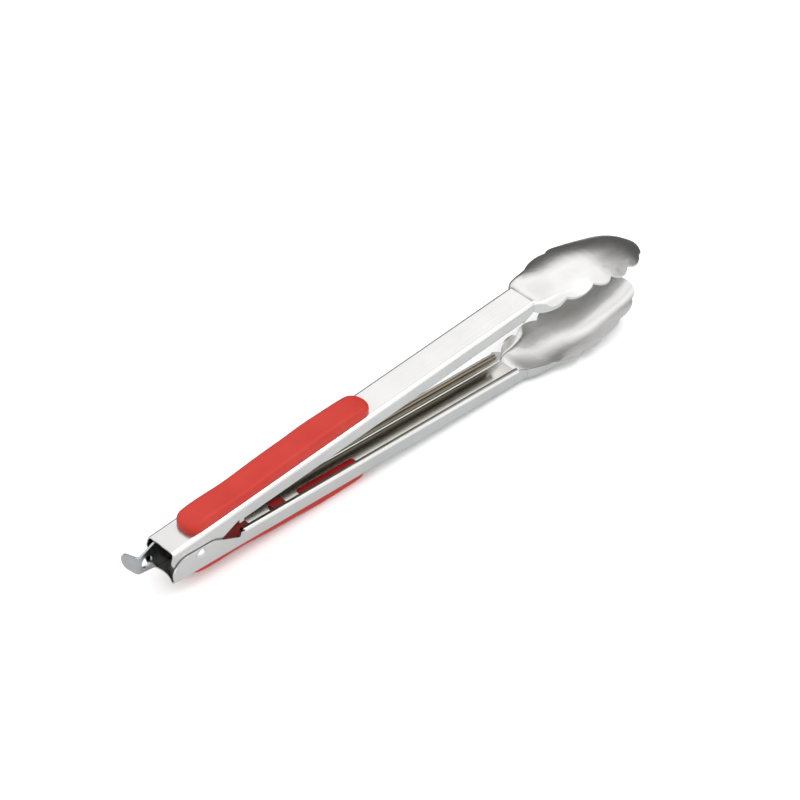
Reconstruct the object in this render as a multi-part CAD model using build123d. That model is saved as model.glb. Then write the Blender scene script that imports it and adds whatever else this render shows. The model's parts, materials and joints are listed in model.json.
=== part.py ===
from build123d import *
from math import atan2, cos, degrees, pi, radians, sin, tan
import os

# Spring loaded kitchen tongs.
# The model is made in the frame of the lower arm: the hinge axis is Y and runs through the
# origin, the arm runs along +X, and the web of the lower arm lies under the hinge.
# lay_down() turns and lifts the finished pieces onto the table. All lengths are millimetres.

# ---- Arms ----
sheet = 0.7              # steel thickness of both arms
upper_width = 15.7       # outside width of the upper arm
nest_clearance = 0.3     # on each side, between the nested walls
web_drop = 9.35          # hinge axis to the outer face of each web
bend_radius = 2.0        # outside radius between web and wall
edge_gap = 0.9           # hinge plane to the crest of the rolled edges
bead_diameter = 3.3      # rolled edge of each wall
bead_start = 25.0
bead_end = 199.6
neck_end = 206.0         # where the channel opens into the head
neck_wall_drop = 3.9     # hinge plane to the wall's edge at the end of the neck
neck_step = 0.07         # the drawn head is this much thicker than the channel, on each face
rest_opening = 7.2       # degrees between the arms as they lie locked

# ---- Ears round the hinge ----
tail_reach = 15.3        # hinge axis to the end of the ears
web_tail_reach = tail_reach - 1.1
web_scoop = 2.0          # depth of the round cut in the end of the lower web
ear_rise = 2.9           # hinge axis to the top of each ear
ear_round = 7.8
ear_flat_end = 7.2
notch_x = 22.4           # foot of the ear's slope
notch_drop = 3.3

# ---- Heads ----
tip_x = 286.0
tip_rise = 5.9
head_depth = 9.9         # hinge plane to the lowest line of the head
head_lowest_x = 228.0
scallops = [(222.8, 13.2), (239.3, 14.8), (251.6, 15.1), (265.5, 13.7), (278.7, 9.6)]
scallop_bulge = 2.2
first_lobe_bulge = 1.7
tip_bulge = 2.0

# ---- Hinge ----
rivet_radius = 2.0
running_clearance = 0.05
rivet_head_radius = 2.8
rivet_head_height = 1.2
bush_wall = 0.9
spring_wire = 1.6
spring_radius = 4.0      # hinge axis to the centre of the wire
spring_turns = 6
turn_pitch = 1.5         # close wound: the turns press on each other
leg_thinning = 0.05      # the legs are drawn a little thinner than the turns
spring_leg_angle = 11.0  # degrees between each leg and its web
wire_to_wall = 0.25

# ---- Lock plate ----
plate_thickness = 1.0
plate_y = 4.7            # middle of the plate
plate_gap = 0.15         # between the plate and the lower web, and beside the plate
plate_rise = 6.2         # hinge axis to the top edge of the wedge
wedge_x = -13.0          # tall corner of the wedge
plate_front = 9.0
plate_end = -23.0
foot_rise = 1.0          # the plate's lower edge rises this much towards its end
hang_hole_x = -18.3
hang_hole_z = -2.8
hang_hole_radius = 2.85
slot_back = 7.0          # how far the plate can be pushed in
slot_front = 3.2         # how far it can be pulled out
slot_clearance = 0.15
tab_length = 9.0
tab_lean = 10.0          # degrees that the tab leans away from the hinge
tab_rise = 0.7           # hinge plane to the top of the tab at the bend
tab_slope = 1.5          # how much lower the top of the tab is at its tip
tab_bend = 1.6           # outside radius of the bend
tab_top_round = 2.4
tab_foot_round = 4.2

# ---- Grips ----
grip_start = -2.5
grip_end = 104.2
grip_width = 13.2
grip_tail_radius = 5.6
grip_front_radius = 6.4
grip_edge_round = 2.2
grip_heights = [(8.0, 4.9), (24.0, 4.3), (44.0, 5.2), (62.0, 5.7)]
rest_flat = (80.0, 90.0)
grip_belly = 5.8         # web to the lowest line of the lower grip
grip_tail_height = 3.6
grip_front_height = 3.2
grip_front_curve = 4.0   # length of the front end that curves up from the belly
insert_base = 1.2
insert_width = 11.8
pad_fit = 0.05
pad_corner = 0.3         # corner radius as a share of a pad's width
block_pad = (20.2, 35.0, 11.2)
boss_pad = (49.5, 57.0, 5.6)
strip_pad = (66.0, 101.0, 4.6)
block_proud = 1.0
strip_proud = 0.2
boss_proud = 1.3

# ---- Worked out from the above ----
lower_width = upper_width + 2 * (sheet + nest_clearance)
bead_radius = bead_diameter / 2
web_face = web_drop - sheet
belly_drop = web_drop + grip_belly
rest_x = sum(rest_flat) / 2
lie_angle = degrees(atan2(belly_drop - head_depth, head_lowest_x - rest_x))
plate_foot = -web_face + plate_gap


def trough(width, top):
    """U section of the channel: web at the bottom, walls up to the given height."""
    height = top + web_drop
    outer = Pos(0, (top - web_drop) / 2) * Rectangle(width, height)
    outer = fillet(outer.vertices().group_by(Axis.Y)[0], bend_radius)
    inner = Pos(0, (top - web_drop) / 2 + sheet) * Rectangle(width - 2 * sheet, height)
    inner = fillet(inner.vertices().group_by(Axis.Y)[0], bend_radius - sheet)
    return outer - inner


def wall_outline():
    """Side view of the walls, from the tail over the ear and the notch to the neck."""
    bead_axis = -edge_gap - bead_radius
    below = -web_drop - 1
    corners = [
        (-web_tail_reach, below),
        (-web_tail_reach, -web_drop + 1.2),
        (-tail_reach, -web_drop + 4.2),
        (-tail_reach, ear_rise),
        (ear_flat_end, ear_rise),
        (notch_x, -notch_drop),
        (notch_x + 0.2, -edge_gap),
        (bead_start, -edge_gap),
        (bead_start, bead_axis),
        (bead_end, bead_axis),
        (bead_end, -edge_gap),
        (neck_end, -neck_wall_drop),
        (neck_end, below),
    ]
    outline = make_face(Polyline(*corners, close=True))
    tail_top = outline.vertices().sort_by_distance((-tail_reach, ear_rise, 0))[0]
    outline = fillet(tail_top, ear_round)
    slope_top = outline.vertices().sort_by_distance((ear_flat_end, ear_rise, 0))[0]
    outline = fillet(slope_top, ear_round)
    notch = outline.vertices().sort_by_distance((notch_x, -notch_drop, 0))[0]
    return fillet(notch, sheet)


def rolled_edge(width, side):
    """Three quarters of a hollow roll: up from the wall, inwards and down again."""
    axis_y = side * (width / 2 - bead_radius)
    axis_z = -edge_gap - bead_radius
    roll = Circle(bead_radius) - Circle(bead_radius - sheet)
    wall_quarter = Pos(side * bead_radius / 2, -bead_radius / 2) * Rectangle(bead_radius, bead_radius)
    section = Pos(axis_y, axis_z) * (roll - wall_quarter)
    return extrude(Plane.YZ.offset(bead_start) * section, amount=bead_end - bead_start)


def trough_point(share, half_width, rim, floor):
    """Point on the outside of a square-sided trough, share -1 at one rim to 1 at the other."""
    wall = rim - floor - bend_radius
    flat = half_width - bend_radius
    arc = bend_radius * pi / 2
    along = abs(share) * (flat + arc + wall)
    side = 1 if share > 0 else -1
    if along <= flat:
        return side * along, floor
    if along <= flat + arc:
        turn = (along - flat) / bend_radius
        return side * (flat + bend_radius * sin(turn)), floor + bend_radius * (1 - cos(turn))
    return side * half_width, floor + bend_radius + along - flat - arc


def spoon_line(share, half_width, rim, floor, spoon):
    """Outside of the head's section: a square trough (spoon 0) that turns into a bowl (1)."""
    trough_y, trough_z = trough_point(share, half_width, rim, floor)
    bowl_y = share * half_width
    bowl_z = floor + (rim - floor) * share**2
    return trough_y + spoon * (bowl_y - trough_y), trough_z + spoon * (bowl_z - trough_z)


def spoon_section(x, half_width, rim, floor, spoon):
    """One closed section of the head, a little thicker than the channel's sheet."""
    steps = 24
    thickness = sheet + 2 * neck_step
    outside = []
    inside = []
    for step in range(steps + 1):
        share = 2 * step / steps - 1
        y, z = spoon_line(share, half_width, rim, floor, spoon)
        y_next, z_next = spoon_line(share + 0.01, half_width, rim, floor, spoon)
        y_last, z_last = spoon_line(share - 0.01, half_width, rim, floor, spoon)
        slope = atan2(z_next - z_last, y_next - y_last)
        outside.append((x, y, z))
        inside.append((x, y - thickness * sin(slope), z + thickness * cos(slope)))
    edges = [
        Spline(*outside),
        Line(outside[-1], inside[-1]),
        Spline(*reversed(inside)),
        Line(inside[0], outside[0]),
    ]
    return Face(Wire(edges))


def head_outline(width):
    """Half of the scalloped edge of the head seen from above, mirrored into a whole."""
    points = [(neck_end, width / 2 + neck_step)] + scallops
    edges = []
    for number, (start, end) in enumerate(zip(points, points[1:])):
        run = Vector(end[0] - start[0], end[1] - start[1], 0)
        bulge = scallop_bulge if number else first_lobe_bulge
        outwards = Vector(-run.Y, run.X, 0).normalized() * bulge
        middle = Vector((start[0] + end[0]) / 2, (start[1] + end[1]) / 2, 0) + outwards
        edges.append(ThreePointArc(start, middle, end))
    last = scallops[-1]
    shoulder = (last[0] + tip_bulge * 2.6, last[1] * 0.62)
    edges.append(Spline(last, shoulder, (tip_x, 0), tangents=[(1, -0.1), (0, -1)]))
    far_side = [mirror(edge, about=Plane.XZ) for edge in edges]
    closing = Line((neck_end, width / 2 + neck_step), (neck_end, -width / 2 - neck_step))
    return make_face(edges + far_side + [closing])


def head(width):
    """The spoon-like end of an arm, a lofted sheet cut to the scalloped outline."""
    stations = [
        (neck_end, width / 2 + neck_step, -neck_wall_drop + neck_step, -web_drop - neck_step, 0.0),
        (neck_end + 8, 12.7, -2.7, -web_drop - 0.2, 0.3),
        (neck_end + 17, 15.2, -3.6, -head_depth, 0.7),
        (neck_end + 27, 17.9, -3.8, -head_depth + 0.1, 1.0),
        (245.0, 19.0, -1.8, -9.3, 1.0),
        (258.0, 18.4, 2.0, -7.1, 1.0),
        (269.0, 17.0, 4.9, -3.8, 1.0),
        (279.0, 14.5, 7.9, 0.9, 1.0),
        (tip_x + 3, 12.0, 12.2, tip_rise + 2.0, 1.0),
    ]
    sheet_metal = loft([spoon_section(*station) for station in stations])
    cutter = extrude(Plane.XY.offset(-2 * web_drop) * head_outline(width), amount=5 * web_drop)
    return sheet_metal & cutter


def pad_outline(pad, growth):
    """Round-ended outline of a window in the web, or of the pad that fills it."""
    start, end, width = pad
    length = end - start + 2 * growth
    across = width + 2 * growth
    return Pos((start + end) / 2, 0) * RectangleRounded(length, across, across * pad_corner)


def arm(width):
    """One arm, web down, with its head, its rivet holes and the windows in its web."""
    channel = extrude(Plane.YZ.offset(-tail_reach) * trough(width, ear_rise), amount=neck_end + tail_reach)
    channel = channel & extrude(Plane.XZ * wall_outline(), amount=width, both=True)
    body = channel + rolled_edge(width, 1) + rolled_edge(width, -1) + head(width)
    body -= Rot(90, 0, 0) * Cylinder(rivet_radius + running_clearance, 2 * width)
    for pad in (block_pad, boss_pad, strip_pad):
        window = Plane.XY.offset(-web_drop - 1) * pad_outline(pad, pad_fit)
        body -= extrude(window, amount=sheet + 2)
    return body


def web_end_scoop():
    """Round cut that makes room for a finger behind the lock plate."""
    half_chord = lower_width / 2 - bend_radius
    radius = (half_chord**2 + web_scoop**2) / (2 * web_scoop)
    centre = -web_tail_reach + web_scoop - radius
    return Pos(centre, 0, -web_drop) * Cylinder(radius, 3 * sheet)


def grip_block():
    """Body of a grip before its inside is cut out, lying under the web."""
    lie = tan(radians(lie_angle))
    flat_start = (rest_flat[0], -belly_drop - (rest_x - rest_flat[0]) * lie)
    flat_end = (rest_flat[1], -belly_drop + (rest_flat[1] - rest_x) * lie)
    rise = (1, lie)
    tail = (grip_start, -web_drop - grip_tail_height)
    front = (grip_end, -web_drop - grip_front_height)
    waist = [(x, -web_drop - height) for x, height in grip_heights]
    belly_x = grip_end - grip_front_curve
    belly_end = (belly_x, -belly_drop + (belly_x - rest_x) * lie)
    side = make_face([
        Line((grip_start, -web_drop), tail),
        Spline(tail, *waist, flat_start, tangents=[(1, -0.25), rise]),
        Line(flat_start, flat_end),
        Bezier(flat_end, belly_end, front),
        Line(front, (grip_end, -web_drop)),
        Line((grip_end, -web_drop), (grip_start, -web_drop)),
    ])
    block = extrude(Plane.XZ * side, amount=grip_width, both=True)
    plan = Pos((grip_start + grip_end) / 2, 0) * Rectangle(grip_end - grip_start, grip_width)
    plan = fillet(plan.vertices().group_by(Axis.X)[0], grip_tail_radius)
    plan = fillet(plan.vertices().group_by(Axis.X)[-1], grip_front_radius)
    block = block & extrude(Plane.XY.offset(-2 * belly_drop) * plan, amount=2 * belly_drop)
    under = block.edges().filter_by(lambda edge: edge.center().Z < -web_drop - 0.5)
    rim = under.filter_by(lambda edge: abs(edge.center().Y) > 0.1 or edge.length < 12)
    return block, rim


def grip_insert():
    """Hard core of a grip: a base under the web, with pads that fill the web's windows."""
    start = block_pad[0] - 3
    end = strip_pad[1] + 1
    base = Pos((start + end) / 2, 0) * RectangleRounded(end - start, insert_width, insert_width * pad_corner)
    core = extrude(Plane.XY.offset(-web_drop - insert_base) * base, amount=insert_base)
    for pad, proud in ((block_pad, block_proud), (boss_pad, boss_proud), (strip_pad, strip_proud)):
        foot = Plane.XY.offset(-web_drop) * pad_outline(pad, 0)
        core += extrude(foot, amount=sheet + proud)
    return core


def hinge_rivet():
    """Rivet through all four walls, with a low dome at each end."""
    reach = lower_width / 2 + running_clearance
    dome_radius = (rivet_head_radius**2 + rivet_head_height**2) / (2 * rivet_head_height)
    ball = Pos(0, reach + rivet_head_height - dome_radius, 0) * Sphere(dome_radius)
    dome = ball & Pos(0, reach + dome_radius, 0) * Box(3 * dome_radius, 2 * dome_radius, 3 * dome_radius)
    shank = Rot(90, 0, 0) * Cylinder(rivet_radius, 2 * reach)
    return shank + dome + mirror(dome, about=Plane.XZ)


def sleeve(start, end, radius):
    """Loose tube on the rivet, from one y to another."""
    bore = rivet_radius + 2 * running_clearance
    ring = Circle(radius) - Circle(bore)
    return extrude(Plane.XZ.offset(-start) * ring, amount=start - end)


def torsion_spring():
    """Close-wound coil round the bush, turn against turn, with a leg along each web."""
    first_y = -upper_width / 2 + sheet + wire_to_wall + spring_wire / 2
    last_y = first_y + (spring_turns - 1) * turn_pitch
    coil = Pos(0, first_y, 0) * Rot(90, 0, 0) * Torus(spring_radius, spring_wire / 2)
    for turn in range(1, spring_turns):
        coil += Pos(0, first_y + turn * turn_pitch, 0) * Rot(90, 0, 0) * Torus(spring_radius, spring_wire / 2)
    leg = radians(spring_leg_angle)
    lift = radians(spring_leg_angle + rest_opening)
    start = Vector(-spring_radius * sin(leg), first_y, -spring_radius * cos(leg))
    end = Vector(-spring_radius * sin(lift), last_y, spring_radius * cos(lift))
    reach = (web_face - spring_wire / 2 - nest_clearance - spring_radius * cos(leg)) / sin(leg)
    lower_way = Vector(cos(leg), 0, -sin(leg))
    upper_way = Vector(cos(lift), 0, sin(lift))
    for foot, way in ((start, lower_way), (end, upper_way)):
        stem = Plane(origin=foot, z_dir=way) * Circle(spring_wire / 2 - leg_thinning)
        coil += extrude(stem, amount=reach)
    return coil


def tab_waste():
    """What is cut from a square tab to leave one with a round end."""
    lean = radians(tab_lean)
    near_face = plate_y - plate_thickness / 2
    foot = plate_foot + foot_rise
    top_corner = (tab_length, tab_rise - tab_slope)
    foot_corner = (tab_length, foot)
    leaf = make_face(Polyline((tab_bend, foot), foot_corner, top_corner, (tab_bend, tab_rise), close=True))
    for corner, radius in ((top_corner, tab_top_round), (foot_corner, tab_foot_round)):
        leaf = fillet(leaf.vertices().sort_by_distance((*corner, 0))[0], radius)
    waste = Pos(tab_bend + tab_length / 2, 0) * Rectangle(tab_length, 4 * web_drop) - leaf
    tab_plane = Plane(
        origin=(plate_end, near_face, 0),
        x_dir=(-sin(lean), cos(lean), 0),
        z_dir=(cos(lean), sin(lean), 0),
    )
    return extrude(tab_plane * waste, amount=2 * plate_thickness, both=True)


def lock_plate():
    """Flat wedge between the tails, slotted for the rivet, with a hanging hole and a bent tab."""
    lean = radians(tab_lean)
    tab_reach = plate_end - tab_length * sin(lean)
    corners = [
        (tab_reach, plate_foot + foot_rise),
        (tab_reach, tab_rise),
        (plate_end, tab_rise),
        (wedge_x, plate_rise),
        (plate_front, plate_rise),
        (plate_front, plate_foot),
        (wedge_x, plate_foot),
        (plate_end, plate_foot + foot_rise),
    ]
    blank = make_face(Polyline(*corners, close=True))
    front = blank.vertices().group_by(Axis.X)[-1]
    blank = fillet(front, slot_front)
    slot_radius = rivet_radius + slot_clearance
    middle = (slot_front - slot_back) / 2
    blank -= Pos(middle, 0) * SlotOverall(slot_back + slot_front + 2 * slot_radius, 2 * slot_radius)
    blank -= Pos(hang_hole_x, hang_hole_z) * Circle(hang_hole_radius)

    near_face = plate_y - plate_thickness / 2
    far_face = plate_y + plate_thickness / 2
    inner_x = plate_end + plate_thickness * (1 - sin(lean)) / cos(lean)
    tip_y = near_face + tab_length * cos(lean)
    plan = make_face(Polyline(
        (plate_end, near_face),
        (plate_front, near_face),
        (plate_front, far_face),
        (inner_x, far_face),
        (tab_reach + plate_thickness * cos(lean), tip_y + plate_thickness * sin(lean)),
        (tab_reach, tip_y),
        close=True,
    ))
    outer_bend = plan.vertices().sort_by_distance((plate_end, near_face, 0))[0]
    plan = fillet(outer_bend, tab_bend)
    inner_bend = plan.vertices().sort_by_distance((inner_x, far_face, 0))[0]
    plan = fillet(inner_bend, tab_bend - plate_thickness)
    strip = extrude(Plane.XY.offset(plate_foot) * plan, amount=plate_rise - plate_foot)
    plate = strip & extrude(Plane.XZ * blank, amount=2 * tip_y, both=True)
    return plate - tab_waste()


def lay_down(shape, box):
    """Turn a piece with the whole tongs onto the table, under the middle of their box."""
    return Pos(-box.center().X, 0, -box.min.Z) * Rot(0, lie_angle, 0) * shape


def lift_up(shape):
    """Turn a piece made for the lower arm over to the upper arm, open by the rest angle."""
    return Rot(0, -rest_opening, 0) * mirror(shape, about=Plane.XY)


block, rim = grip_block()
grip = fillet(rim, grip_edge_round)
insert = grip_insert()
grip = grip - insert
near_wall = -upper_width / 2 + sheet + nest_clearance
plate_near = plate_y - plate_thickness / 2 - plate_gap
plate_far = plate_y + plate_thickness / 2 + plate_gap
bush_radius = rivet_radius + 2 * running_clearance + bush_wall

pieces = {
    "lower_arm": arm(lower_width) - web_end_scoop(),
    "upper_arm": lift_up(arm(upper_width)),
    "lower_grip": grip,
    "upper_grip": lift_up(grip),
    "lower_grip_insert": insert,
    "upper_grip_insert": lift_up(insert),
    "hinge_rivet": hinge_rivet(),
    "spring_bush": sleeve(near_wall, plate_near, bush_radius),
    "plate_spacer": sleeve(plate_far, -near_wall, bush_radius),
    "torsion_spring": torsion_spring(),
    "lock_plate": lock_plate(),
}
turned = Compound(children=[Rot(0, lie_angle, 0) * piece for piece in pieces.values()])
box = turned.bounding_box()

os.makedirs("parts", exist_ok=True)
for name, piece in pieces.items():
    export_step(lay_down(piece, box), f"parts/{name}.step")
print("hinge axis at", -box.center().X, -box.min.Z, "tilt", lie_angle)
print("box", box.size)
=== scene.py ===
# %% [markdown]
# # Spring loaded kitchen tongs
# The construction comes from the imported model: two folded steel arms on a rivet, soft grips,
# a lock plate and a spring. This lesson gives each of them its finish, winds the spring's real
# coil, and sets up the camera and a plain studio. Lengths are metres and the table is at z = 0.

# %% Load the frame
import json
import math

import bpy
from mathutils import Matrix, Vector


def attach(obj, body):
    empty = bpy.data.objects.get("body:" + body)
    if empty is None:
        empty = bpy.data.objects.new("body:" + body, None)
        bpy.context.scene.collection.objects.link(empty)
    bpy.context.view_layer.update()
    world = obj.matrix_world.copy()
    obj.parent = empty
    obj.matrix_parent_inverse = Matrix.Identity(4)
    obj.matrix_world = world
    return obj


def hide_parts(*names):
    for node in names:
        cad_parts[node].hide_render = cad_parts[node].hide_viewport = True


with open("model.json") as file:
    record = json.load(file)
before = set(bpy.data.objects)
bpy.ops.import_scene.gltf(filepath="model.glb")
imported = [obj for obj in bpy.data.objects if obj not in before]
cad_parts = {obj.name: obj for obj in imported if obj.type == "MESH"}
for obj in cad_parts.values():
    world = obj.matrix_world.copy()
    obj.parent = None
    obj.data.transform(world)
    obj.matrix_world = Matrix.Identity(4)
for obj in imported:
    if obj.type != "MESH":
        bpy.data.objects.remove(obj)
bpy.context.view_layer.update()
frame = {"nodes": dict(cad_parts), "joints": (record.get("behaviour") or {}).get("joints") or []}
nodes = frame["nodes"]
joints = {joint["name"]: joint for joint in frame["joints"]}
MM = 0.001

# %% [markdown]
# ## Where the arms lie
# The hinge gives the place of the rivet, and the lock plate slides along the lower arm, so its
# joint gives the arm's direction. Every position below is worked out from these two.

# %% The lower arm's own axes
hinge = Vector(joints["arm_hinge"]["pos_m"])
along = Vector(joints["lock_slide"]["axis"]).normalized()
across = Vector((0, 1, 0))
upwards = along.cross(across)
arm_axes = Matrix((along, across, upwards)).transposed()
REST_OPENING = math.radians(7.2)


def place(x, y, z):
    """Point in the lower arm's own millimetres, measured from the hinge, to the row's metres."""
    return hinge + arm_axes @ (Vector((x, y, z)) * MM)


print("Hinge at", [round(v, 4) for v in hinge], "arm runs", [round(v, 3) for v in along])

# %% [markdown]
# ## Camera
# A long lens from the near side, a little above and behind the hinge, so that the tongs run away
# from the viewer up to the right. The camera is set by its angles round the arm, its roll, its
# distance in millimetres, and the share of the sensor's width that the lens's focal length is.

# %% Make the camera
CAMERA_AZIMUTH = math.radians(-51.31)
CAMERA_ELEVATION = math.radians(37.64)
CAMERA_ROLL = math.radians(7.72)
CAMERA_DISTANCE = 1153.8
CAMERA_RIGHT = 5.74
CAMERA_UP = 12.32
AIM_ALONG = 120.0
FOCAL_SHARE = 3.273625

back = Vector((
    math.sin(CAMERA_AZIMUTH) * math.cos(CAMERA_ELEVATION),
    -math.cos(CAMERA_AZIMUTH) * math.cos(CAMERA_ELEVATION),
    math.sin(CAMERA_ELEVATION),
))
level = Vector((math.cos(CAMERA_AZIMUTH), math.sin(CAMERA_AZIMUTH), 0))
above = back.cross(level)
right = math.cos(CAMERA_ROLL) * level + math.sin(CAMERA_ROLL) * above
up = math.cos(CAMERA_ROLL) * above - math.sin(CAMERA_ROLL) * level
eye = Vector((AIM_ALONG, 0, 0)) + back * CAMERA_DISTANCE + right * CAMERA_RIGHT + up * CAMERA_UP

camera_data = bpy.data.cameras.new("camera")
camera_data.sensor_width = 36
camera_data.lens = camera_data.sensor_width * FOCAL_SHARE
camera_data.clip_start = 0.05
camera = bpy.data.objects.new("camera", camera_data)
bpy.context.scene.collection.objects.link(camera)
turn = arm_axes @ Matrix((right, up, back)).transposed()
camera.matrix_world = Matrix.Translation(place(*eye)) @ turn.to_4x4()
bpy.context.scene.camera = camera
print("Camera at", [round(v, 3) for v in camera.location], "lens", round(camera_data.lens, 1))

# %% [markdown]
# ## Shared finishes
# Cold-rolled sheet shows a fine grain along the arm, and moulded parts show a faint orange peel.
# Both are noise with different stretch, so each is a small shader group with its own inputs.


# %% Grain group
def new_group(name, inputs, outputs):
    """Shader group with named float inputs and outputs."""
    group = bpy.data.node_groups.new(name, "ShaderNodeTree")
    for label, value in inputs:
        socket = group.interface.new_socket(label, in_out="INPUT", socket_type="NodeSocketFloat")
        socket.default_value = value
    for label in outputs:
        group.interface.new_socket(label, in_out="OUTPUT", socket_type="NodeSocketFloat")
    return group, group.nodes.new("NodeGroupInput"), group.nodes.new("NodeGroupOutput")


def vary_roughness(group, given, result, noise):
    """Roughness output: the roughness given, raised and lowered by the noise."""
    mean = group.nodes.new("ShaderNodeMath")
    mean.operation = "SUBTRACT"
    mean.inputs[1].default_value = 0.5
    spread = group.nodes.new("ShaderNodeMath")
    spread.operation = "MULTIPLY_ADD"
    link = group.links.new
    link(noise.outputs[0], mean.inputs[0])
    link(mean.outputs[0], spread.inputs[0])
    link(given.outputs["Spread"], spread.inputs[1])
    link(given.outputs["Roughness"], spread.inputs[2])
    link(spread.outputs[0], result.inputs["Roughness"])


def grain_group():
    """Fine lines along X: noise squeezed across and stretched along the arm."""
    group, given, result = new_group(
        "sheet grain", [("Lines", 900.0), ("Stretch", 0.02), ("Roughness", 0.25), ("Spread", 0.1)],
        ["Roughness", "Height", "Shade"])
    make, link = group.nodes.new, group.links.new
    coordinates = make("ShaderNodeTexCoord")
    split = make("ShaderNodeSeparateXYZ")
    shrink = make("ShaderNodeMath")
    shrink.operation = "MULTIPLY"
    join = make("ShaderNodeCombineXYZ")
    link(coordinates.outputs["Object"], split.inputs[0])
    link(split.outputs["X"], shrink.inputs[0])
    link(given.outputs["Stretch"], shrink.inputs[1])
    link(shrink.outputs[0], join.inputs["X"])
    for axis in ("Y", "Z"):
        link(split.outputs[axis], join.inputs[axis])
    lines = make("ShaderNodeTexNoise")
    lines.inputs["Detail"].default_value = 4
    link(join.outputs[0], lines.inputs["Vector"])
    link(given.outputs["Lines"], lines.inputs["Scale"])
    clouds = make("ShaderNodeTexNoise")
    clouds.inputs["Scale"].default_value = 45
    clouds.inputs["Detail"].default_value = 2
    link(coordinates.outputs["Object"], clouds.inputs["Vector"])
    vary_roughness(group, given, result, lines)
    link(lines.outputs[0], result.inputs["Height"])
    link(clouds.outputs[0], result.inputs["Shade"])
    return group


def peel_group():
    """Moulded skin: fine orange peel for the bump, wide clouds for colour and gloss."""
    group, given, result = new_group(
        "moulded skin", [("Peel", 1400.0), ("Clouds", 60.0), ("Roughness", 0.4), ("Spread", 0.1)],
        ["Roughness", "Height", "Shade"])
    make, link = group.nodes.new, group.links.new
    coordinates = make("ShaderNodeTexCoord")
    peel = make("ShaderNodeTexNoise")
    peel.inputs["Detail"].default_value = 3
    clouds = make("ShaderNodeTexNoise")
    clouds.inputs["Detail"].default_value = 2
    for texture, scale in ((peel, "Peel"), (clouds, "Clouds")):
        link(coordinates.outputs["Object"], texture.inputs["Vector"])
        link(given.outputs[scale], texture.inputs["Scale"])
    vary_roughness(group, given, result, clouds)
    link(peel.outputs[0], result.inputs["Height"])
    link(clouds.outputs[0], result.inputs["Shade"])
    return group


GRAIN = grain_group()
PEEL = peel_group()
print("Made groups", GRAIN.name, "and", PEEL.name)


# %% Material builder
def finish_material(name, group, values, colors, metallic, bump):
    """Principled material whose colour, gloss and relief come from one of the groups."""
    strength, depth = bump
    material = bpy.data.materials.new(name)
    material.use_nodes = True
    tree = material.node_tree
    shader = tree.nodes["Principled BSDF"]
    shader.inputs["Metallic"].default_value = metallic
    texture = tree.nodes.new("ShaderNodeGroup")
    texture.node_tree = group
    for label, value in values.items():
        texture.inputs[label].default_value = value
    ramp = tree.nodes.new("ShaderNodeValToRGB")
    for stop, position, color in zip(ramp.color_ramp.elements, (0.3, 0.7), colors):
        stop.position = position
        stop.color = (*color, 1)
    relief = tree.nodes.new("ShaderNodeBump")
    relief.inputs["Strength"].default_value = strength
    relief.inputs["Distance"].default_value = depth
    link = tree.links.new
    link(texture.outputs["Shade"], ramp.inputs[0])
    link(ramp.outputs[0], shader.inputs["Base Color"])
    link(texture.outputs["Roughness"], shader.inputs["Roughness"])
    link(texture.outputs["Height"], relief.inputs["Height"])
    link(relief.outputs[0], shader.inputs["Normal"])
    return material


# Millimetres from the hinge, in an arm's own axes: X along the arm, Z negative towards its web.
# These numbers say where the painted shade inside each channel lies and where it fades out.
ROLLED_EDGE = (-4.4, -3.4)
SHEET_MIDDLE = 0.35
ROLL_WIDTH = 1.7
WEB_MIDDLE = -9.0
WEB_FADES = (-8.5, -6.8)
CHANNEL_FADES = (198, 205)


def paint_shade_inside(material, half_width, turn, wall_painted_shade, web_painted_light):
    """Painted shade inside a folded channel, up to the neck and inside the rolled edges: dark
    walls, webs painted paler.
    """
    tree = material.node_tree
    make, link = tree.nodes.new, tree.links.new
    coordinates = make("ShaderNodeTexCoord")
    axes = make("ShaderNodeMapping")
    axes.vector_type = "TEXTURE"
    axes.inputs["Location"].default_value = hinge
    axes.inputs["Rotation"].default_value = turn.to_euler()
    split = make("ShaderNodeSeparateXYZ")
    link(coordinates.outputs["Object"], axes.inputs["Vector"])
    link(axes.outputs[0], split.inputs[0])

    def ramped(axis, span, low, high):
        stretch = make("ShaderNodeMapRange")
        start, end = span
        for label, value in (("From Min", start * MM), ("From Max", end * MM),
                             ("To Min", low), ("To Max", high)):
            stretch.inputs[label].default_value = value
        link(split.outputs[axis], stretch.inputs["Value"])
        return stretch.outputs[0]

    def combined(operation, first, second):
        math_node = make("ShaderNodeMath")
        math_node.operation = operation
        link(first, math_node.inputs[0])
        if isinstance(second, float):
            math_node.inputs[1].default_value = second
        else:
            link(second, math_node.inputs[1])
        return math_node.outputs[0]

    wall, roll = (half_width - SHEET_MIDDLE) * MM, (half_width - ROLL_WIDTH) * MM
    edge = ramped("Z", ROLLED_EDGE, wall, roll)
    side = combined("LESS_THAN", combined("ABSOLUTE", split.outputs["Y"], 0.0), edge)
    above_web = combined("GREATER_THAN", split.outputs["Z"], WEB_MIDDLE * MM)
    before_head = ramped("X", CHANNEL_FADES, 1, 0)
    inside = combined("MULTIPLY", combined("MULTIPLY", side, above_web), before_head)
    height = ramped("Z", WEB_FADES, 0, 1)
    # Painted shade: dark walls fading into webs painted paler than the steel.
    inner = make("ShaderNodeMix")
    inner.data_type = "RGBA"
    inner.inputs["A"].default_value = (*web_painted_light, 1)
    inner.inputs["B"].default_value = (*wall_painted_shade, 1)
    link(height, inner.inputs["Factor"])
    shader = tree.nodes["Principled BSDF"]
    whole = make("ShaderNodeMix")
    whole.data_type = "RGBA"
    link(inside, whole.inputs["Factor"])
    link(shader.inputs["Base Color"].links[0].from_socket, whole.inputs["A"])
    link(inner.outputs["Result"], whole.inputs["B"])
    link(whole.outputs["Result"], shader.inputs["Base Color"])


def dress(node, material):
    """Give a construction piece its finish."""
    nodes[node].data.materials.clear()
    nodes[node].data.materials.append(material)
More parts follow.
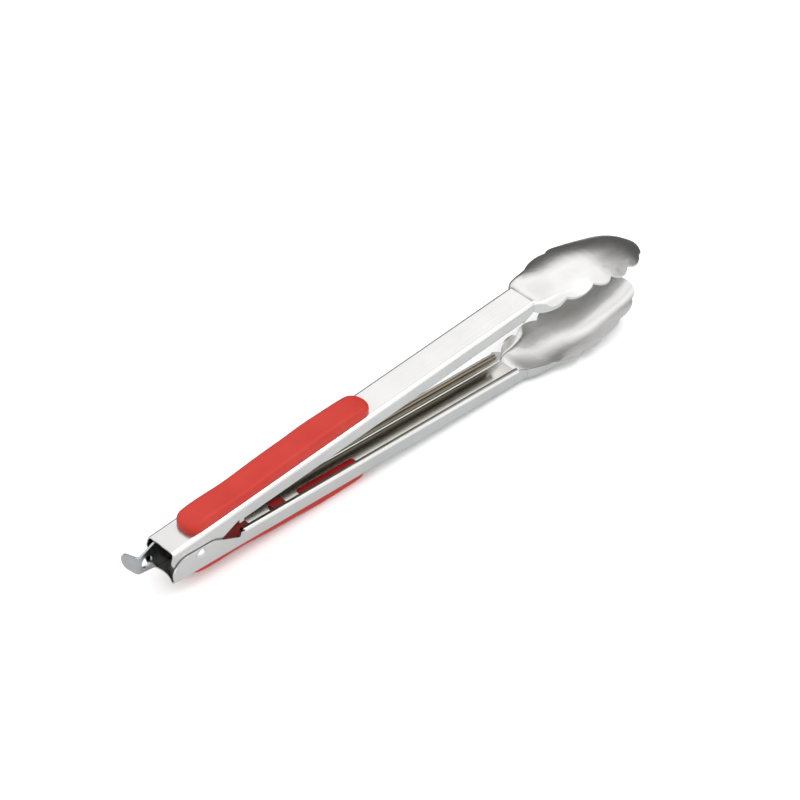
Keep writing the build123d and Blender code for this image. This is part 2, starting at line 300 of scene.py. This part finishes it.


# %% [markdown]
# ## Steel
# The arms are one satin sheet steel. Inside their channels the colour is painted light and shade:
# the walls are painted dark as shade and the webs painted paler than the steel. Each arm has its
# own material, because the inside is found in the arm's own axes. The lock plate is the same kind
# of steel, tumbled and a little darker. The rivet is turned wire with a polished dome.

# %% Steel finishes
LOWER_HALF_WIDTH = 8.85
UPPER_HALF_WIDTH = 7.85
# Painted shade for the inner walls and painted light for the inner webs, in place of the steel's
# colour.
INSIDE_WALL_PAINTED_SHADE = (0.21, 0.18, 0.135)
INSIDE_WEB_PAINTED_LIGHT = (0.70, 0.70, 0.66)

upper_axes = arm_axes @ Matrix.Rotation(-REST_OPENING, 3, "Y") @ Matrix.Rotation(math.pi, 3, "X")
for node, half_width, own_axes in (("lower_arm", LOWER_HALF_WIDTH, arm_axes),
                                   ("upper_arm", UPPER_HALF_WIDTH, upper_axes)):
    sheet_steel = finish_material(
        node.replace("_", " ") + " sheet steel", GRAIN,
        {"Lines": 900, "Stretch": 0.03, "Roughness": 0.24, "Spread": 0.12},
        [(0.575, 0.57, 0.56), (0.63, 0.625, 0.615)], 1.0, (0.12, 0.00002))
    paint_shade_inside(sheet_steel, half_width, own_axes, INSIDE_WALL_PAINTED_SHADE, INSIDE_WEB_PAINTED_LIGHT)
    dress(node, sheet_steel)
plate_steel = finish_material(
    "tumbled plate steel", GRAIN,
    {"Lines": 700, "Stretch": 0.2, "Roughness": 0.22, "Spread": 0.15},
    [(0.36, 0.37, 0.38), (0.43, 0.44, 0.45)], 1.0, (0.2, 0.00003))
rivet_steel = finish_material(
    "polished rivet", GRAIN,
    {"Lines": 500, "Stretch": 1.0, "Roughness": 0.2, "Spread": 0.12},
    [(0.60, 0.60, 0.60), (0.68, 0.68, 0.68)], 1.0, (0.1, 0.00002))
spring_steel = finish_material(
    "drawn spring wire", GRAIN,
    {"Lines": 600, "Stretch": 0.5, "Roughness": 0.3, "Spread": 0.2},
    [(0.28, 0.28, 0.29), (0.36, 0.36, 0.37)], 1.0, (0.2, 0.00003))
dress("lock_plate", plate_steel)
for node in ("hinge_rivet", "spring_bush", "plate_spacer"):
    dress(node, rivet_steel)
print("Steel on the arms, the lock plate, the rivet, its bush and its spacer")

# %% [markdown]
# ## Grips
# The skin is a soft satin rubber, and the core that shows through the windows is a harder,
# glossier and darker plastic.

# %% Grip finishes
grip_rubber = finish_material(
    "soft red skin", PEEL,
    {"Peel": 1600, "Clouds": 70, "Roughness": 0.42, "Spread": 0.12},
    [(0.40, 0.020, 0.012), (0.44, 0.028, 0.017)], 0.0, (0.15, 0.00005))
core_plastic = finish_material(
    "dark red core", PEEL,
    {"Peel": 900, "Clouds": 90, "Roughness": 0.22, "Spread": 0.08},
    [(0.36, 0.004, 0.005), (0.42, 0.007, 0.007)], 0.0, (0.1, 0.00004))
for material, gloss in ((grip_rubber, 0.25), (core_plastic, 0.1)):
    material.node_tree.nodes["Principled BSDF"].inputs["Specular IOR Level"].default_value = gloss
for node in ("lower_grip", "upper_grip"):
    dress(node, grip_rubber)
for node in ("lower_grip_insert", "upper_grip_insert"):
    dress(node, core_plastic)
print("Red on both grips and their cores")

# %% [markdown]
# ## Spring
# The construction shows the coil as a stack of rings. The real one is a single wire: a leg along
# the lower web, nearly four and a half turns round the bush, and a leg along the upper web. Each
# leg is a straight run that leaves the coil as a tangent and ends just short of its web. The upper
# leg goes with the upper arm, so it is a piece of its own from where it leaves the coil.
# All lengths are millimetres.

# %% Wind the spring
WIRE = 1.6
COIL_RADIUS = 4.0
COIL_START = -6.1
COIL_END = 1.4
LEG_ANGLE = math.radians(11)
LIFT_ANGLE = LEG_ANGLE + REST_OPENING
HINGE_TO_WEB = 8.65
LEG_GAP = 0.3
leg_drop = HINGE_TO_WEB - WIRE / 2 - LEG_GAP - COIL_RADIUS * math.cos(LEG_ANGLE)
leg_length = leg_drop / math.sin(LEG_ANGLE)
FULL_TURNS = 4
STEPS = 160


def wire(name, points, body):
    """Round wire through the given points, as a mesh that rides on a body."""
    curve = bpy.data.curves.new(name, "CURVE")
    curve.dimensions = "3D"
    curve.bevel_depth = WIRE / 2 * MM
    curve.bevel_resolution = 4
    curve.use_fill_caps = True
    spline = curve.splines.new("POLY")
    spline.points.add(len(points) - 1)
    for point, position in zip(spline.points, points):
        point.co = (*place(*position), 1)
    piece = bpy.data.objects.new(name, curve)
    bpy.context.scene.collection.objects.link(piece)
    bpy.ops.object.select_all(action="DESELECT")
    piece.select_set(True)
    bpy.context.view_layer.objects.active = piece
    bpy.ops.object.convert(target="MESH")
    bpy.ops.object.shade_smooth_by_angle(angle=math.radians(40))
    piece = bpy.context.object
    piece.data.materials.append(spring_steel)
    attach(piece, body)
    return piece


lower_foot = -math.pi / 2 - LEG_ANGLE
upper_foot = math.pi / 2 + LIFT_ANGLE - 2 * math.pi
sweep = upper_foot - lower_foot - FULL_TURNS * 2 * math.pi
coil = []
for step in range(STEPS + 1):
    share = step / STEPS
    angle = lower_foot + share * sweep
    coil.append((COIL_RADIUS * math.cos(angle), COIL_START + share * (COIL_END - COIL_START),
                 COIL_RADIUS * math.sin(angle)))
lower_end = (coil[0][0] + leg_length * math.cos(LEG_ANGLE), COIL_START,
             coil[0][2] - leg_length * math.sin(LEG_ANGLE))
upper_end = (coil[-1][0] + leg_length * math.cos(LIFT_ANGLE), COIL_END,
             coil[-1][2] + leg_length * math.sin(LIFT_ANGLE))
spring_coil = wire("spring_coil", [lower_end] + coil, "root")
spring_leg = wire("spring_upper_leg", [coil[-1], upper_end], "upper")
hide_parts("torsion_spring")
print("Wound", round(-sweep / (2 * math.pi), 2), "turns of", WIRE, "mm wire")

# %% [markdown]
# ## Studio
# A white table under a soft overhead sky. Steel shows what it reflects, so in reflections the
# table is only a white cloth close to the tongs, and the sky is dark behind the heads: webs turn
# white, walls light grey, and the upper head gets its dark far edge and tip. The sky's light goes
# by a direction's height, raised by a shift, lowered towards the heads and raised towards the
# near side.


# %% Table
TABLE_SIZE = 6
TABLE_WHITE = (0.8, 0.8, 0.8)
CLOTH_SIZE = (0.46, 0.16, 1)
CLOTH_WHITE = (0.66, 0.68, 0.69)
CLOTH_HEIGHT = 0.0002


def stage_material(name, color, roughness=0.6):
    """Plain material for the stage."""
    material = bpy.data.materials.new(name)
    material.use_nodes = True
    shader = material.node_tree.nodes["Principled BSDF"]
    shader.inputs["Base Color"].default_value = (*color, 1)
    shader.inputs["Roughness"].default_value = roughness
    return material


def white_floor():
    """Large table that keeps the shadow, pure white to the camera and unseen in the steel."""
    bpy.ops.object.select_all(action="DESELECT")
    bpy.ops.mesh.primitive_plane_add(size=TABLE_SIZE, location=(0, 0, 0))
    floor = bpy.context.object
    floor.name = "table"
    paint = stage_material("white table", TABLE_WHITE)
    tree = paint.node_tree
    path = tree.nodes.new("ShaderNodeLightPath")
    white = tree.nodes.new("ShaderNodeMix")
    white.data_type = "RGBA"
    white.inputs["A"].default_value = (*TABLE_WHITE, 1)
    white.inputs["B"].default_value = (1, 1, 1, 1)
    tree.links.new(path.outputs["Is Camera Ray"], white.inputs["Factor"])
    tree.links.new(white.outputs["Result"], tree.nodes["Principled BSDF"].inputs["Base Color"])
    floor.data.materials.append(paint)
    floor.visible_glossy = False
    return floor


def mirrored_table():
    """White cloth close to the tongs that only reflections see, in place of the table."""
    bpy.ops.object.select_all(action="DESELECT")
    bpy.ops.mesh.primitive_plane_add(size=1, location=(0, 0, CLOTH_HEIGHT))
    cloth = bpy.context.object
    cloth.scale = CLOTH_SIZE
    bpy.ops.object.transform_apply(location=True, scale=True)
    cloth.name = "mirrored_table"
    cloth.data.materials.append(stage_material("cloth white", CLOTH_WHITE))
    cloth.visible_camera = False
    cloth.visible_diffuse = False
    cloth.visible_shadow = False
    return cloth


# %% Sky
SKY_STRENGTH = 1.75
# Each stop is a level and the share of the light there.
SKY_STOPS = [(0.0, 0.07), (0.26, 0.10), (0.38, 0.18), (0.46, 0.45), (0.62, 0.85), (0.74, 1.0),
             (0.79, 1.0), (0.86, 0.66), (0.92, 0.66), (1.0, 0.85)]
SKY_SHIFT = 0.3
TOWARDS_HEADS = -0.5
TOWARDS_NEAR_SIDE = -1.0


def studio_sky():
    """White for the camera. For light and reflections, bright above and dark at the horizon."""
    world = bpy.data.worlds.new("studio")
    world.use_nodes = True
    tree = world.node_tree
    make, link = tree.nodes.new, tree.links.new
    direction = make("ShaderNodeTexCoord")
    split = make("ShaderNodeSeparateXYZ")
    ramp = make("ShaderNodeValToRGB")
    stops = ramp.color_ramp.elements
    stops.remove(stops[1])
    for number, (position, light) in enumerate(SKY_STOPS):
        stop = stops[0] if number == 0 else stops.new(position)
        stop.position = position
        stop.color = (light, light, light, 1)
    link(direction.outputs["Generated"], split.inputs[0])
    shifted = make("ShaderNodeMath")
    shifted.inputs[1].default_value = SKY_SHIFT
    link(split.outputs["Z"], shifted.inputs[0])
    near = make("ShaderNodeMath")
    near.operation = "MINIMUM"
    near.inputs[1].default_value = 0
    link(split.outputs["Y"], near.inputs[0])
    level = shifted
    for source, share in ((split.outputs["X"], TOWARDS_HEADS),
                          (near.outputs[0], TOWARDS_NEAR_SIDE)):
        mixed = make("ShaderNodeMath")
        mixed.operation = "MULTIPLY_ADD"
        mixed.inputs[1].default_value = share
        link(source, mixed.inputs[0])
        link(level.outputs[0], mixed.inputs[2])
        level = mixed
    link(level.outputs[0], ramp.inputs[0])
    lit = tree.nodes["Background"]
    lit.inputs["Strength"].default_value = SKY_STRENGTH
    link(ramp.outputs[0], lit.inputs["Color"])
    seen = make("ShaderNodeBackground")
    seen.inputs["Color"].default_value = (1, 1, 1, 1)
    path = make("ShaderNodeLightPath")
    mix = make("ShaderNodeMixShader")
    link(path.outputs["Is Camera Ray"], mix.inputs[0])
    link(lit.outputs[0], mix.inputs[1])
    link(seen.outputs[0], mix.inputs[2])
    link(mix.outputs[0], tree.nodes["World Output"].inputs["Surface"])
    bpy.context.scene.world = world
    return world


floor = white_floor()
cloth = mirrored_table()
sky = studio_sky()
print("Stage:", floor.name, cloth.name, sky.name)


# %% Lamp
LAMP_AIM = Vector((0, 0, 0.03))


def soft_lamp(name, position, size, power):
    """Square area lamp aimed at the middle of the tongs."""
    data = bpy.data.lights.new(name, "AREA")
    data.size = size
    data.energy = power
    lamp = bpy.data.objects.new(name, data)
    bpy.context.scene.collection.objects.link(lamp)
    lamp.location = position
    lamp.rotation_euler = (LAMP_AIM - lamp.location).to_track_quat("-Z", "Y").to_euler()
    return lamp


soft_lamp("key", position=(0.45, -0.35, 1.25), size=0.5, power=3)

bpy.context.scene.view_settings.view_transform = "Standard"
